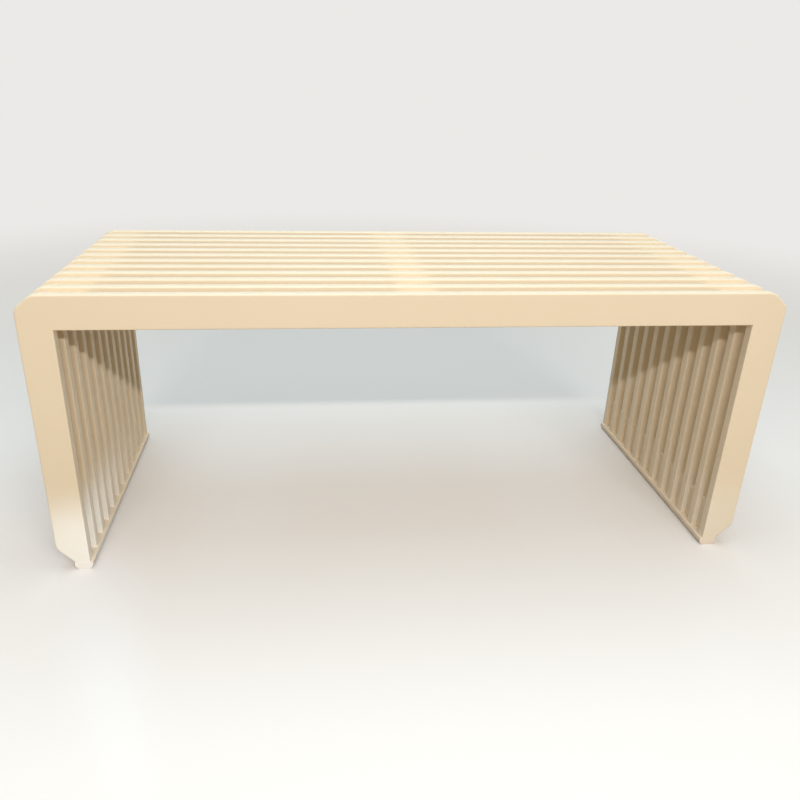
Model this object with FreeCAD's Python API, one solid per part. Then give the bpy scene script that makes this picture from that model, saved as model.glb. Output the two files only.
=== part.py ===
import FreeCAD, Part
import math
import os

# Slatted bench. Equal inverted-U frames stand one behind another with open gaps between them.
# A frame is a seat rail mitred to two legs, with a loose tenon hidden in each mitre.
# Spacer blocks, glued face to face between neighbouring frames, keep the gaps at the middle and
# both ends of the seat and low between the legs. A runner carries each row of legs.
# Millimetres, +Z up, +X to the right, front towards -Y; the origin is on the floor under the middle.

# Whole bench
bench_length = 1120.0
seat_height = 450.0
frame_count = 12
slat_thickness = 16.0
slat_gap = 24.0

# Frame members, seen from the front
rail_depth = 51.0
leg_width = 53.0
corner_cut_width = 24.0
corner_cut_height = 21.0
foot_cut_height = 26.0
seat_corner_radius = 42.0
side_corner_radius = 16.0
edge_easing = 2.4

# Loose tenons in the mitres
tenon_length = 30.0
tenon_width = 30.0
tenon_thickness = 6.0
tenon_fit = 0.15

# Spacers between the frames
middle_spacer_length = 56.0
seat_spacer_drop = 4.0
seat_spacer_lift = 5.0
foot_spacer_height = 60.0
foot_spacer_inner_setback = 10.0
spacer_outer_setback = 12.0
spacer_easing = 1.0

# Foot runners; a leg is cut back at its foot to the runner's width
runner_width = 28.0
runner_height = 13.0
runner_rounding = 4.0

# Places that follow from the sizes above
pitch = slat_thickness + slat_gap
bench_depth = frame_count * slat_thickness + (frame_count - 1) * slat_gap
front = -bench_depth / 2
outer_face = bench_length / 2
inner_face = outer_face - leg_width
rail_underside = seat_height - rail_depth
leg_bottom = runner_height
foot_cut_top = leg_bottom + foot_cut_height
runner_outer_face = inner_face + runner_width
spacer_outer_face = outer_face - spacer_outer_setback
spacer_low = rail_underside + seat_spacer_lift
spacer_high = seat_height - seat_spacer_drop
frame_fronts = [front + number * pitch for number in range(frame_count)]
gap_fronts = [start + slat_thickness for start in frame_fronts[:-1]]
SIDES = {"left": -1, "right": 1}

# Cutting tools reach this far past what they cut; edges are told apart to within the tolerance
overshoot = 1.0
tolerance = 1e-4


def prism(outline, start, length):
    """Solid with a straight-sided X-Z outline, run back along Y from start."""
    corners = [FreeCAD.Vector(x, start, z) for x, z in outline]
    face = Part.Face(Part.makePolygon(corners + corners[:1]))
    return face.extrude(FreeCAD.Vector(0, length, 0))


def copies(shape, starts):
    """Copies of a piece made at Y = 0, one moved back to each start."""
    return [shape.translated(FreeCAD.Vector(0, start, 0)) for start in starts]


def edges_across(frame, distance):
    """Edges that run through a frame from front to back, this far out on either side."""
    return [
        edge for edge in frame.Edges
        if edge.BoundBox.YLength > tolerance
        and edge.BoundBox.XLength < tolerance
        and abs(abs(edge.CenterOfMass.x) - distance) < tolerance
    ]


def eased_frame():
    """One frame before it is parted at the mitres, with softened cut corners and eased long edges."""
    right_half = [
        (outer_face - corner_cut_width, seat_height),
        (outer_face, seat_height - corner_cut_height),
        (outer_face, foot_cut_top),
        (runner_outer_face, leg_bottom),
        (inner_face, leg_bottom),
        (inner_face, rail_underside),
    ]
    left_half = [(-x, z) for x, z in reversed(right_half)]
    frame = prism(right_half + left_half, 0, slat_thickness)
    frame = frame.makeFillet(seat_corner_radius, edges_across(frame, outer_face - corner_cut_width))
    frame = frame.makeFillet(side_corner_radius, edges_across(frame, outer_face))
    long_edges = [
        edge for edge in frame.Edges
        if edge.BoundBox.YLength < tolerance and edge.BoundBox.ZMax > leg_bottom + tolerance
    ]
    return frame.makeChamfer(edge_easing, long_edges)


def leg_side_of_mitre(side):
    """Space on the leg's side of a mitre: the line through a frame's inner and outer corners."""
    far_x = side * (outer_face + leg_width)
    far_z = seat_height + rail_depth
    floor_x = side * (inner_face - leg_width * rail_underside / rail_depth)
    return prism([(floor_x, 0), (far_x, far_z), (far_x, 0)], -overshoot, slat_thickness + 2 * overshoot)


def corner_tenon(side, fit):
    """Loose tenon square across a mitre, midway along it; fit is added all round for its mortise.

    The cut corner takes its share off the outer end of the mitre.
    """
    cut_share = 1 / (leg_width / corner_cut_width + rail_depth / corner_cut_height)
    along_mitre = (1 - cut_share) / 2
    centre = FreeCAD.Vector(
        side * (inner_face + along_mitre * leg_width),
        slat_thickness / 2,
        rail_underside + along_mitre * rail_depth,
    )
    width = tenon_width + 2 * fit
    thickness = tenon_thickness + 2 * fit
    length = tenon_length + 2 * fit
    tenon = Part.makeBox(width, thickness, length, FreeCAD.Vector(-width / 2, -thickness / 2, -length / 2))
    turn = -side * math.degrees(math.atan2(rail_depth, leg_width))
    tenon.Placement = FreeCAD.Placement(centre, FreeCAD.Rotation(FreeCAD.Vector(0, 1, 0), turn))
    return tenon


def spacer(outline):
    """Block that fills one gap, with the edges that run across the gap eased."""
    block = prism(outline, 0, slat_gap)
    across = [edge for edge in block.Edges if edge.BoundBox.YLength > tolerance]
    return block.makeChamfer(spacer_easing, across)


def middle_spacer():
    """Spacer midway between two rails, a little below the seat and above their undersides."""
    end = middle_spacer_length / 2
    return spacer([(-end, spacer_low), (end, spacer_low), (end, spacer_high), (-end, spacer_high)])


def end_spacer(side):
    """Spacer in a corner, flush with the legs inside and set back from their cut corners outside."""
    cut_run = corner_cut_width * (1 - seat_spacer_drop / corner_cut_height)
    lower_corners = [(inner_face, spacer_low), (spacer_outer_face, spacer_low)]
    upper_corners = [
        (spacer_outer_face, seat_height - corner_cut_height),
        (spacer_outer_face - cut_run, spacer_high),
        (inner_face, spacer_high),
    ]
    return spacer([(side * x, z) for x, z in lower_corners + upper_corners])


def foot_spacer(side):
    """Spacer between two legs, set back from both their faces, that stands on the runner."""
    inside = inner_face + foot_spacer_inner_setback
    top = leg_bottom + foot_spacer_height
    lower_corners = [(inside, leg_bottom), (runner_outer_face, leg_bottom), (spacer_outer_face, foot_cut_top)]
    upper_corners = [(spacer_outer_face, top), (inside, top)]
    return spacer([(side * x, z) for x, z in lower_corners + upper_corners])


def foot_runner(side):
    """Runner under a row of legs, flush with their inner faces, its lower long edges rounded."""
    left = min(side * runner_outer_face, side * inner_face)
    corner = FreeCAD.Vector(left, front, 0)
    strip = Part.makeBox(runner_width, bench_depth, runner_height, corner)
    lower_edges = [
        edge for edge in strip.Edges
        if edge.BoundBox.ZMax < tolerance and edge.BoundBox.YLength > tolerance
    ]
    return strip.makeFillet(runner_rounding, lower_edges)


def save(node, solids):
    """Writes one node: a single piece, or a group of equal separate pieces."""
    shape = solids[0] if len(solids) == 1 else Part.makeCompound(solids)
    shape.exportStep(f"parts/{node}.step")


def save_row(name, piece):
    """Writes a frame member once for each frame, numbered from the front."""
    for number, member in enumerate(copies(piece, frame_fronts), start=1):
        save(f"{name}_{number:02d}", [member])


os.makedirs("parts", exist_ok=True)

# Frames: one blank, parted at the mitres, each part mortised for its tenons
frame_blank = eased_frame()
rail = frame_blank
for name, side in SIDES.items():
    mitre_zone = leg_side_of_mitre(side)
    mortise = corner_tenon(side, tenon_fit)
    rail = rail.cut(mitre_zone).cut(mortise)
    save_row(f"{name}_leg", frame_blank.common(mitre_zone).cut(mortise))
save_row("seat_rail", rail)

# Spacers in the gaps of the seat's middle
save("middle_spacers", copies(middle_spacer(), gap_fronts))

# Tenons, spacers and runner of each end
for name, side in SIDES.items():
    save(f"{name}_corner_tenons", copies(corner_tenon(side, 0), frame_fronts))
    save(f"{name}_end_spacers", copies(end_spacer(side), gap_fronts))
    save(f"{name}_foot_spacers", copies(foot_spacer(side), gap_fronts))
    save(f"{name}_foot_runner", [foot_runner(side)])
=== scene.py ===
import math

import bpy
import numpy as np
from mathutils import Matrix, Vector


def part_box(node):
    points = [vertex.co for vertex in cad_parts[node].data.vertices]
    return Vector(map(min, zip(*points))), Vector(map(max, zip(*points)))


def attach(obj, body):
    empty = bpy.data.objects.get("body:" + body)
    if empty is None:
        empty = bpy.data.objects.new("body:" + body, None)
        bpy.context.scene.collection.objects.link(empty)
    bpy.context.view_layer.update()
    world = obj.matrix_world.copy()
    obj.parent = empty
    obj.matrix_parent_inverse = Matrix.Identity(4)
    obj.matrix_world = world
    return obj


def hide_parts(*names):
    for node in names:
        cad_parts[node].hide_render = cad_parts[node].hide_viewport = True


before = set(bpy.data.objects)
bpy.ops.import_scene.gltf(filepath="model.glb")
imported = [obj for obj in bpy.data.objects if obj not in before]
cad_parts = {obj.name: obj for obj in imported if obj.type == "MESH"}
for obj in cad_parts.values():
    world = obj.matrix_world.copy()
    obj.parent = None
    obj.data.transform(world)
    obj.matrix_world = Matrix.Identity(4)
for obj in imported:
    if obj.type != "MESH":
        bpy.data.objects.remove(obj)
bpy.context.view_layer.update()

# Frames: each is a solid wood seat rail, mitred and glued to two legs, with its outer corners cut off
# at the top and at the feet. Every long edge is eased by hand and the cut corners are sanded softer
# still before the frames are sprayed with cream satin lacquer, which thins a little on the edges.
leg_setback = 0.004
corner_cut_width = 0.024
corner_cut_height = 0.021
foot_cut_height = 0.026
seat_corner_radius = 0.024
side_corner_radius = 0.016
corner_steps = 13
outer_edge_radius = 0.0026
inner_edge_radius = 0.0014
edge_margin = 0.003
edge_steps = 8
sharp_angle = math.radians(40)
frame_cream = (0.785, 0.655, 0.47)
frame_pale = (0.815, 0.695, 0.515)
thin_coat = (0.66, 0.46, 0.27)
sprayed_peel = 0.00006
rail_low, rail_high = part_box("seat_rail_01")
leg_low, leg_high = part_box("right_leg_01")
runner_outer_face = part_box("right_foot_runner")[1].x
frame_count = sum(name.startswith("seat_rail_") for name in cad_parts)
slat_thickness = rail_high.y - rail_low.y
seat_top = rail_high.z
rail_underside = rail_low.z
inner_face = leg_low.x + leg_setback
outer_face = leg_high.x
leg_bottom = leg_low.z
mitre_x = rail_high.x
mitre_z = leg_high.z
cut_x = outer_face - corner_cut_width
cut_z = seat_top - corner_cut_height
foot_cut_top = leg_bottom + foot_cut_height


def softened_path(corners, radii):
    """Points of a path, and its unit offsets to the right of travel.

    Each inner corner gives way to an arc about corner + radius * mitre, where the mitre is the sum
    of the two runs' offsets over one plus their product. The ends keep their run's offset.
    """
    corners = np.array(corners, float)
    radius = np.array(radii, float)[:, None]
    along = np.diff(corners, axis=0)
    along /= np.linalg.norm(along, axis=1, keepdims=True)
    inward = np.stack([along[:, 1], -along[:, 0]], axis=1)
    heading = np.unwrap(np.arctan2(inward[:, 1], inward[:, 0]))
    share = np.linspace(0, 1, corner_steps)
    angles = heading[:-1, None] + np.diff(heading)[:, None] * share
    turning = np.stack([np.cos(angles), np.sin(angles)], axis=2)
    mitre = (inward[:-1] + inward[1:]) / (1 + np.sum(inward[:-1] * inward[1:], axis=1))[:, None]
    arcs = (corners[1:-1] + radius * mitre)[:, None] - radius[:, None] * turning
    points = np.vstack([corners[:1], arcs.reshape(-1, 2), corners[-1:]])
    offsets = np.vstack([inward[:1], turning.reshape(-1, 2), inward[-1:]])
    return points, offsets


def eased_section(radius):
    """Half a slat's section as inset from its side face, depth behind its front face, and edge mask.

    The eased edge is a quarter circle of radius r: inset = r (1 - sin t) and depth = r (1 - cos t). The
    mask is one on the edges and fades to nothing over a small margin on the flat faces.
    """
    turn = np.linspace(0, math.pi / 2, edge_steps)
    edge_inset = radius * (1 - np.sin(turn))
    edge_depth = radius * (1 - np.cos(turn))
    reach = radius + edge_margin
    inset = np.concatenate([[reach], edge_inset, [0]])
    depth = np.concatenate([[0], edge_depth, [reach]])
    mask = np.concatenate([[0], np.ones(edge_steps), [0]])
    inset = np.concatenate([inset, inset[::-1]])
    depth = np.concatenate([depth, slat_thickness - depth[::-1]])
    return inset, depth, np.concatenate([mask, mask[::-1]])


def member_surface(outer, outer_offsets, inner, inner_offsets):
    """Vertices and edge mask of a member, one closed ring of its section for each point of its path.

    A point of the ring is the outer or inner path plus the section's inset times the path's offset,
    at the section's depth behind the frame's front face.
    """
    inset, depth, mask = eased_section(outer_edge_radius)
    inner_inset, inner_depth, inner_mask = eased_section(inner_edge_radius)
    outer_ring = outer[:, None] + inset[:, None] * outer_offsets[:, None]
    inner_ring = inner[:, None] + inner_inset[::-1, None] * inner_offsets[:, None]
    across = np.concatenate([outer_ring, inner_ring], axis=1)
    behind = np.broadcast_to(np.concatenate([depth, inner_depth[::-1]]), across.shape[:2])
    surface = np.stack([across[..., 0], behind, across[..., 1]], axis=2)
    ring_mask = np.concatenate([mask, inner_mask[::-1]])
    return surface, np.broadcast_to(ring_mask, across.shape[:2])


def ringed_mesh(name, surface, mask, flipped):
    """Mesh of one or more grids of rings: quads between neighbouring rings and a cap on each end ring."""
    rings, sides = surface.shape[-3:-1]
    number = np.arange(surface.size // 3).reshape(-1, rings, sides)
    after = np.roll(number, -1, axis=2)
    quads = np.stack([number[:, :-1], after[:, :-1], after[:, 1:], number[:, 1:]], axis=3)
    caps = np.concatenate([number[:, 0, ::-1], number[:, -1]])
    faces = quads.reshape(-1, 4).tolist() + caps.tolist()
    if flipped:
        faces = [face[::-1] for face in faces]
    mesh = bpy.data.meshes.new(name)
    mesh.from_pydata(surface.reshape(-1, 3), [], faces)
    edge = mesh.attributes.new("edge", "FLOAT", "POINT")
    edge.data.foreach_set("value", mask.ravel().astype(np.float32))
    mesh.shade_smooth()
    mesh.set_sharp_from_angle(angle=sharp_angle)
    return mesh


def placed(mesh, material, cad_node):
    """Puts a finished piece into the scene in place of its CAD node."""
    piece = bpy.data.objects.new(mesh.name, mesh)
    bpy.context.scene.collection.objects.link(piece)
    mesh.materials.append(material)
    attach(piece, "root")
    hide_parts(cad_node)


def node(tree, kind, place, **values):
    """Adds a shader node at a place and sets its named inputs."""
    made = tree.nodes.new(kind)
    made.location = place
    for key, value in values.items():
        made.inputs[key].default_value = value
    return made


def sprayed_lacquer_group():
    """Lacquer as it dries: clouds of a paler coat, thin edges, uneven sheen and a faint orange peel."""
    tree = bpy.data.node_groups.new("sprayed_lacquer", "ShaderNodeTree")
    taken = {"Place": "Vector", "Edge": "Float", "Coat": "Color", "Pale": "Color", "Thin": "Color"}
    given = {"Color": "Color", "Roughness": "Float", "Height": "Float"}
    for direction, sockets in (("INPUT", taken), ("OUTPUT", given)):
        for label, kind in sockets.items():
            tree.interface.new_socket(label, in_out=direction, socket_type=f"NodeSocket{kind}")
    start = node(tree, "NodeGroupInput", (-900, 0))
    end = node(tree, "NodeGroupOutput", (700, 0))
    clouds = node(tree, "ShaderNodeTexNoise", (-650, 300), Scale=4.0, Detail=3.0, Roughness=0.55)
    rubbing = node(tree, "ShaderNodeTexNoise", (-650, 0), Scale=70.0, Detail=4.0, Roughness=0.6)
    peel = node(tree, "ShaderNodeTexNoise", (-650, -300), Scale=520.0, Detail=2.0, Roughness=0.5)
    for noise in (clouds, rubbing, peel):
        tree.links.new(start.outputs["Place"], noise.inputs["Vector"])

    coat = node(tree, "ShaderNodeMix", (-150, 350))
    coat.data_type = "RGBA"
    tree.links.new(clouds.outputs["Fac"], coat.inputs["Factor"])
    tree.links.new(start.outputs["Coat"], coat.inputs["A"])
    tree.links.new(start.outputs["Pale"], coat.inputs["B"])
    worn = node(tree, "ShaderNodeMapRange", (-400, 0))
    for label, value in (("From Min", 0.45), ("From Max", 0.75), ("To Min", 0.0), ("To Max", 0.10)):
        worn.inputs[label].default_value = value
    tree.links.new(rubbing.outputs["Fac"], worn.inputs["Value"])
    thin = node(tree, "ShaderNodeMath", (-150, 50))
    thin.operation = "MULTIPLY"
    tree.links.new(worn.outputs["Result"], thin.inputs[0])
    tree.links.new(start.outputs["Edge"], thin.inputs[1])
    colour = node(tree, "ShaderNodeMix", (150, 250))
    colour.data_type = "RGBA"
    tree.links.new(thin.outputs[0], colour.inputs["Factor"])
    tree.links.new(coat.outputs["Result"], colour.inputs["A"])
    tree.links.new(start.outputs["Thin"], colour.inputs["B"])
    tree.links.new(colour.outputs["Result"], end.inputs["Color"])

    sheen = node(tree, "ShaderNodeMapRange", (150, 0))
    for label, value in (("From Min", 0.3), ("From Max", 0.7), ("To Min", 0.34), ("To Max", 0.46)):
        sheen.inputs[label].default_value = value
    tree.links.new(rubbing.outputs["Fac"], sheen.inputs["Value"])
    tree.links.new(sheen.outputs["Result"], end.inputs["Roughness"])
    tree.links.new(peel.outputs["Fac"], end.inputs["Height"])
    return tree


def lacquer(name, coat, pale, thin, peel_depth):
    """Satin lacquer of one piece, with its own creams, worn to the edge mask that the mesh carries."""
    material = bpy.data.materials.new(name)
    material.use_nodes = True
    tree = material.node_tree
    surface = tree.nodes["Principled BSDF"]
    surface.inputs["IOR"].default_value = 1.5
    place = node(tree, "ShaderNodeTexCoord", (-900, 0))
    edge = node(tree, "ShaderNodeAttribute", (-900, -300))
    edge.attribute_name = "edge"
    spray = node(tree, "ShaderNodeGroup", (-600, 0))
    spray.node_tree = lacquer_group
    for label, colour in (("Coat", coat), ("Pale", pale), ("Thin", thin)):
        spray.inputs[label].default_value = (*colour, 1.0)
    bump = node(tree, "ShaderNodeBump", (-300, -200), Strength=0.35, Distance=peel_depth)
    tree.links.new(place.outputs["Object"], spray.inputs["Place"])
    tree.links.new(edge.outputs["Fac"], spray.inputs["Edge"])
    tree.links.new(spray.outputs["Color"], surface.inputs["Base Color"])
    tree.links.new(spray.outputs["Roughness"], surface.inputs["Roughness"])
    tree.links.new(spray.outputs["Height"], bump.inputs["Height"])
    tree.links.new(bump.outputs["Normal"], surface.inputs["Normal"])
    return material


lacquer_group = sprayed_lacquer_group()
frame_lacquer = lacquer("frame_lacquer", frame_cream, frame_pale, thin_coat, sprayed_peel)

rail_top = [(-mitre_x, mitre_z), (-cut_x, seat_top), (cut_x, seat_top), (mitre_x, mitre_z)]
rail_outer, rail_offsets = softened_path(rail_top, [seat_corner_radius, seat_corner_radius])
mitre_run = np.array([inner_face - mitre_x, rail_underside - mitre_z])
mitre_offset = mitre_run / (mitre_run @ rail_offsets[-1])
rail_offsets[0] = mitre_offset * (-1, 1)
rail_offsets[-1] = mitre_offset
rail_inner_x = rail_outer[:, 0] * inner_face / mitre_x
rail_inner = np.stack([rail_inner_x, np.full(len(rail_outer), rail_underside)], axis=1)
rail_inner_offsets = np.tile([0.0, 1.0], (len(rail_outer), 1))
rail_inner_offsets[0] = (-1, 1)
rail_inner_offsets[-1] = (1, 1)
rail_surface, rail_mask = member_surface(rail_outer, rail_offsets, rail_inner, rail_inner_offsets)

leg_side = [(mitre_x, mitre_z), (outer_face, cut_z),
            (outer_face, foot_cut_top), (runner_outer_face, leg_bottom)]
leg_outer, leg_offsets = softened_path(leg_side, [side_corner_radius, side_corner_radius])
leg_offsets[0] = mitre_offset
leg_offsets[-1] = (1 / leg_offsets[-1, 0], 0)
leg_share = (leg_outer[:, 1] - leg_bottom) / (mitre_z - leg_bottom)
leg_height = leg_bottom + leg_share * (rail_underside - leg_bottom)
leg_inner = np.stack([np.full(len(leg_outer), inner_face), leg_height], axis=1)
leg_inner_offsets = np.tile([1.0, 0.0], (len(leg_outer), 1))
leg_inner_offsets[0] = (1, 1)
leg_surface, leg_mask = member_surface(leg_outer, leg_offsets, leg_inner, leg_inner_offsets)

for number in range(1, frame_count + 1):
    rail_node = f"seat_rail_{number:02d}"
    front = np.array([0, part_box(rail_node)[0].y, 0])
    rail_mesh = ringed_mesh(f"lacquered_{rail_node}", rail_surface + front, rail_mask, False)
    placed(rail_mesh, frame_lacquer, rail_node)
    for side, mirror in (("left", -1), ("right", 1)):
        leg_node = f"{side}_leg_{number:02d}"
        leg_points = leg_surface * (mirror, 1, 1) + front
        leg_mesh = ringed_mesh(f"lacquered_{leg_node}", leg_points, leg_mask, mirror < 0)
        placed(leg_mesh, frame_lacquer, leg_node)

# Loose tenons: flat beech tongues, planed to the mortises and glued across each mitre. They are out of
# sight once the corners are closed, and stay bare wood.
beech_streak = (0.36, 0.21, 0.10, 1)
beech_ground = (0.60, 0.40, 0.22, 1)


def beech():
    """Bare beech: pale brown with fine darker streaks that run along the tongue."""
    material = bpy.data.materials.new("bare_beech")
    material.use_nodes = True
    tree = material.node_tree
    surface = tree.nodes["Principled BSDF"]
    surface.inputs["Roughness"].default_value = 0.6
    place = node(tree, "ShaderNodeTexCoord", (-1000, 0))
    stretch = node(tree, "ShaderNodeMapping", (-800, 0), Scale=(40.0, 400.0, 400.0))
    streaks = node(tree, "ShaderNodeTexNoise", (-600, 0), Scale=1.0, Detail=4.0)
    tones = node(tree, "ShaderNodeValToRGB", (-350, 0))
    tones.color_ramp.elements[0].color = beech_streak
    tones.color_ramp.elements[1].color = beech_ground
    tree.links.new(place.outputs["Object"], stretch.inputs["Vector"])
    tree.links.new(stretch.outputs["Vector"], streaks.inputs["Vector"])
    tree.links.new(streaks.outputs["Fac"], tones.inputs["Fac"])
    tree.links.new(tones.outputs["Color"], surface.inputs["Base Color"])
    return material


bare_beech = beech()
for side in ("left", "right"):
    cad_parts[f"{side}_corner_tenons"].data.materials[0] = bare_beech

# Spacers: short blocks of the same wood, glued between neighbouring frames. Those of the seat stop below
# its top, so that the gaps run on over them, and the end ones reach past the legs. Those low between the
# legs stand on the runners, set back from the legs' inner faces. Their cream is darker than the frames':
# painted shade for the gaps they sit in.
spacer_drop = 0.010
spacer_arris = 0.0015
end_spacer_reach = 0.042
foot_spacer_setback = 0.008
# These creams are darker than the frames' as painted shade of the gaps; the lacquer made from them
# carries that shade.
spacer_shade_cream = (0.74, 0.61, 0.43)
spacer_shade_pale = (0.77, 0.65, 0.47)
spacer_lacquer = lacquer("spacer_lacquer", spacer_shade_cream, spacer_shade_pale, thin_coat, sprayed_peel)
rail_boxes = [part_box(f"seat_rail_{number:02d}") for number in range(1, frame_count + 1)]
gap_ends = np.array([(ahead[1].y, behind[0].y) for ahead, behind in zip(rail_boxes, rail_boxes[1:])])


def gap_blocks(outline):
    """Blocks that fill every gap: an outline with small arcs at its corners, at the gap's two ends."""
    points = softened_path(outline + outline[:2], [spacer_arris] * len(outline))[0][1:-1]
    grid = gap_ends.shape + points.shape[:1]
    across = np.broadcast_to(points[:, 0], grid)
    along = np.broadcast_to(gap_ends[..., None], grid)
    upright = np.broadcast_to(points[:, 1], grid)
    return np.stack([across, along, upright], axis=3)


spacer_top = seat_top - spacer_drop
middle_low, middle_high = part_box("middle_spacers")
end_low, end_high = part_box("right_end_spacers")
middle_outline = [(middle_low.x, spacer_top), (middle_high.x, spacer_top),
                  (middle_high.x, middle_low.z), (middle_low.x, middle_low.z)]
end_inside = inner_face - end_spacer_reach
end_cut_x = end_high.x - corner_cut_width * (1 - spacer_drop / corner_cut_height)
end_outline = [(end_inside, spacer_top), (end_cut_x, spacer_top), (end_high.x, cut_z),
               (end_high.x, end_low.z), (end_inside, end_low.z)]
foot_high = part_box("right_foot_spacers")[1]
foot_inside = inner_face + foot_spacer_setback
foot_outline = [(foot_inside, foot_high.z), (foot_high.x, foot_high.z), (foot_high.x, foot_cut_top),
                (runner_outer_face, leg_bottom), (foot_inside, leg_bottom)]
spacer_groups = (
    ("left_end_spacers", end_outline, -1),
    ("middle_spacers", middle_outline, 1),
    ("right_end_spacers", end_outline, 1),
    ("left_foot_spacers", foot_outline, -1),
    ("right_foot_spacers", foot_outline, 1),
)
for spacer_node, outline, mirror in spacer_groups:
    blocks = gap_blocks(outline) * (mirror, 1, 1)
    block_mesh = ringed_mesh(f"lacquered_{spacer_node}", blocks, np.zeros(blocks.shape[:3]), mirror < 0)
    placed(block_mesh, spacer_lacquer, spacer_node)

# Foot runners: narrow strips glued under each row of legs, a little proud of them inside, with rounded
# lower edges. They are lacquered with the frames and scuffed pale by the floor.
runner_rounding = 0.008
runner_arris = 0.0006
runner_cream = (0.79, 0.66, 0.49)
runner_pale = (0.82, 0.70, 0.54)
runner_scuff = (0.60, 0.48, 0.36)
runner_peel = 0.00008
runner_lacquer = lacquer("runner_lacquer", runner_cream, runner_pale, runner_scuff, runner_peel)


def runner_surface(low, high):
    """Runner as upright rings of its section, from front to back, drawn in at both ends.

    The section is a rectangle with large arcs at its lower corners; a ring is the section plus inset
    times its inward offset, with inset = r (1 - sin t) and depth = r (1 - cos t) at either end.
    """
    section = [(low.x, high.z), (high.x, high.z), (high.x, low.z), (low.x, low.z)]
    radii = [runner_arris, runner_rounding, runner_rounding, runner_arris]
    points, offsets = softened_path(section + section[:2], radii)
    points, offsets = points[1:-1], offsets[1:-1]
    turn = np.linspace(0, math.pi / 2, edge_steps)
    inset = runner_arris / 2 * (1 - np.sin(turn))
    depth = runner_arris / 2 * (1 - np.cos(turn))
    inset = np.concatenate([inset, inset[::-1]])
    place = np.concatenate([low.y + depth, high.y - depth[::-1]])
    rings = points + inset[:, None, None] * offsets
    along = np.broadcast_to(place[:, None], rings.shape[:2])
    worn = rings[..., 1] < low.z + runner_rounding
    return np.stack([rings[..., 0], along, rings[..., 1]], axis=2), worn


for side in ("left", "right"):
    runner_node = f"{side}_foot_runner"
    runner_points, runner_mask = runner_surface(*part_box(runner_node))
    runner_mesh = ringed_mesh(f"lacquered_{runner_node}", runner_points, runner_mask, False)
    placed(runner_mesh, runner_lacquer, runner_node)

# Studio: a plain pale floor that fades into a pale background, a long strip of light in front and above,
# a broad cool light overhead, a small low lamp aimed at each front foot, and the camera.
floor_radius = 14.0
floor_sides = 96
floor_fade_start = 0.9
floor_fade_end = 3.2
thrown_floor_tone = (0.31, 0.25, 0.175, 1)
seen_floor_tone = (0.82, 0.78, 0.735, 1)
backdrop_colour = (0.83, 0.82, 0.80, 1)
ambient_colour = (1.0, 0.93, 0.80, 1)
ambient_strength = 0.47
foot_lamp_colour = (0.38, 0.61, 1.0)
floor_turn = np.arange(floor_sides) * 2 * math.pi / floor_sides
floor_circle = np.stack([np.cos(floor_turn), np.sin(floor_turn), np.zeros(floor_sides)], axis=1)
floor_rim = floor_radius * floor_circle
floor_mesh = bpy.data.meshes.new("floor")
floor_mesh.from_pydata(floor_rim, [], [list(range(floor_sides))])
floor = bpy.data.objects.new("floor", floor_mesh)
bpy.context.scene.collection.objects.link(floor)


def seen_rays(tree):
    """One for rays from the camera and for reflections, nothing for the light that the stage throws."""
    ray = node(tree, "ShaderNodeLightPath", (-900, 300))
    seen = node(tree, "ShaderNodeMath", (-650, 300))
    seen.operation = "MAXIMUM"
    tree.links.new(ray.outputs["Is Camera Ray"], seen.inputs[0])
    tree.links.new(ray.outputs["Is Glossy Ray"], seen.inputs[1])
    return seen.outputs[0]


def pale_floor():
    """Matt pale paint that keeps the shadow near the bench and fades to the backdrop further out."""
    material = bpy.data.materials.new("pale_floor")
    material.use_nodes = True
    tree = material.node_tree
    paint = tree.nodes["Principled BSDF"]
    paint.inputs["Roughness"].default_value = 0.9
    paint.inputs["Specular IOR Level"].default_value = 0.1
    seen = seen_rays(tree)
    tone = node(tree, "ShaderNodeMix", (-300, 200))
    tone.data_type = "RGBA"
    tone.inputs["A"].default_value = thrown_floor_tone
    tone.inputs["B"].default_value = seen_floor_tone
    tree.links.new(seen, tone.inputs["Factor"])
    tree.links.new(tone.outputs["Result"], paint.inputs["Base Color"])
    place = node(tree, "ShaderNodeTexCoord", (-900, -200))
    reach = node(tree, "ShaderNodeVectorMath", (-650, -200))
    reach.operation = "LENGTH"
    far = node(tree, "ShaderNodeMapRange", (-450, -200))
    far.interpolation_type = "SMOOTHSTEP"
    far.inputs["From Min"].default_value = floor_fade_start
    far.inputs["From Max"].default_value = floor_fade_end
    fade = node(tree, "ShaderNodeMath", (-250, -100))
    fade.operation = "MULTIPLY"
    glow = node(tree, "ShaderNodeEmission", (0, -200), Color=backdrop_colour, Strength=1.0)
    choice = node(tree, "ShaderNodeMixShader", (350, 0))
    tree.links.new(place.outputs["Object"], reach.inputs[0])
    tree.links.new(reach.outputs["Value"], far.inputs["Value"])
    tree.links.new(far.outputs["Result"], fade.inputs[0])
    tree.links.new(seen, fade.inputs[1])
    tree.links.new(fade.outputs[0], choice.inputs["Fac"])
    tree.links.new(paint.outputs["BSDF"], choice.inputs[1])
    tree.links.new(glow.outputs["Emission"], choice.inputs[2])
    tree.links.new(choice.outputs["Shader"], tree.nodes["Material Output"].inputs["Surface"])
    return material


floor_mesh.materials.append(pale_floor())

world = bpy.data.worlds.new("studio")
bpy.context.scene.world = world
world.use_nodes = True
sky = world.node_tree
ambient = sky.nodes["Background"]
ambient.inputs["Color"].default_value = ambient_colour
ambient.inputs["Strength"].default_value = ambient_strength
backdrop = node(sky, "ShaderNodeBackground", (-200, -200), Color=backdrop_colour, Strength=1.0)
choice = node(sky, "ShaderNodeMixShader", (100, 0))
sky.links.new(seen_rays(sky), choice.inputs["Fac"])
sky.links.new(ambient.outputs["Background"], choice.inputs[1])
sky.links.new(backdrop.outputs["Background"], choice.inputs[2])
sky.links.new(choice.outputs["Shader"], sky.nodes["World Output"].inputs["Surface"])


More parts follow.
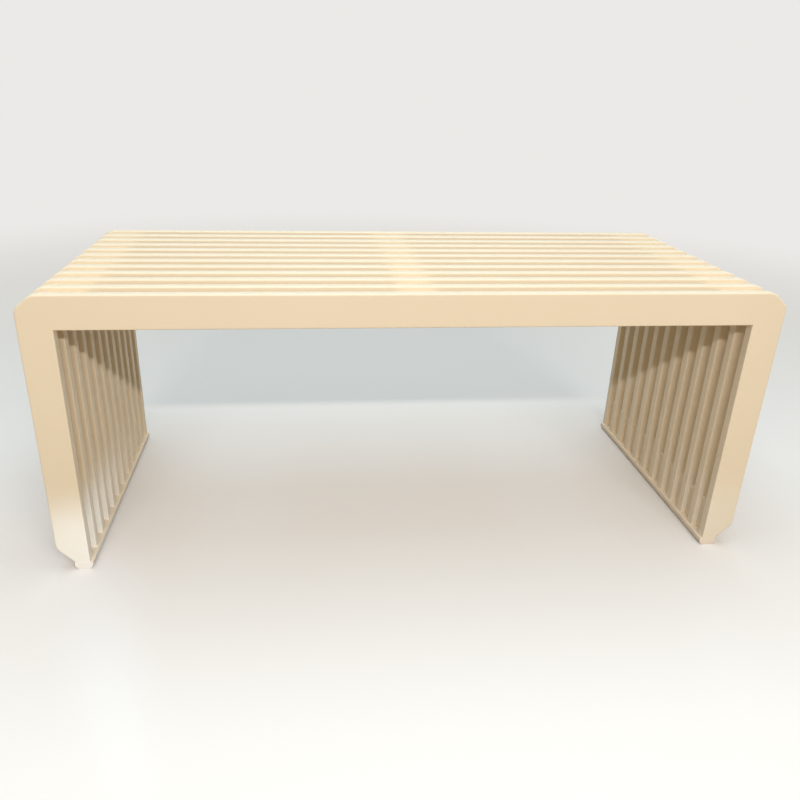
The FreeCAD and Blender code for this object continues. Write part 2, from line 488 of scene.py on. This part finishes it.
def lamp(name, kind, place, target, power, colour):
    """Lamp at a place, turned to face a target."""
    light = bpy.data.lights.new(name, kind)
    light.energy = power
    light.color = colour
    holder = bpy.data.objects.new(name, light)
    bpy.context.scene.collection.objects.link(holder)
    aim = np.subtract(target, place)
    level = math.hypot(aim[0], aim[1])
    turn = Matrix.Rotation(-math.atan2(aim[0], aim[1]), 4, "Z")
    tip = Matrix.Rotation(math.pi / 2 + math.atan2(aim[2], level), 4, "X")
    holder.matrix_world = Matrix.Translation(place) @ turn @ tip
    return light


front_lamp = lamp("front_lamp", "AREA", (0.06, -2.23, 1.69), (0.06, 0, 0.3), 48, (1.0, 0.975, 0.97))
front_lamp.shape = "RECTANGLE"
front_lamp.size = 2.5
front_lamp.size_y = 0.07
overhead_lamp = lamp("overhead_lamp", "AREA", (0.0, 0.35, 2.6), (0, 0.1, 0.3), 43, (0.57, 0.80, 1.0))
overhead_lamp.size = 2.2
for side, mirror, power in (("left", -1, 23), ("right", 1, 5)):
    low_place = (mirror * 0.2, -1.05, 0.09)
    foot_place = (mirror * 0.53, -0.2, 0.035)
    foot_lamp = lamp(f"{side}_foot_lamp", "SPOT", low_place, foot_place, power, foot_lamp_colour)
    foot_lamp.spot_size = math.radians(14)
    foot_lamp.spot_blend = 1.0
    foot_lamp.shadow_soft_size = 0.03

image_width = 800
focal_pixels = 722.8
centre_pixels = (382.25, 385.28)
camera_place = (-0.1612, -1.2130, 0.7310)
camera_yaw = 0.1096
camera_pitch = 0.4019
camera_roll = -0.0275
lens = bpy.data.cameras.new("camera")
lens.lens = focal_pixels / image_width * lens.sensor_width
lens.shift_x = (image_width / 2 - centre_pixels[0]) / image_width
lens.shift_y = (centre_pixels[1] - image_width / 2) / image_width
camera = bpy.data.objects.new("camera", lens)
bpy.context.scene.collection.objects.link(camera)
heading = Matrix.Rotation(-camera_yaw, 4, "Z")
tilt = Matrix.Rotation(math.pi / 2 - camera_pitch, 4, "X")
lean = Matrix.Rotation(-camera_roll, 4, "Z")
camera.matrix_world = Matrix.Translation(camera_place) @ heading @ tilt @ lean
bpy.context.scene.camera = camera
bpy.context.scene.view_settings.view_transform = "Standard"
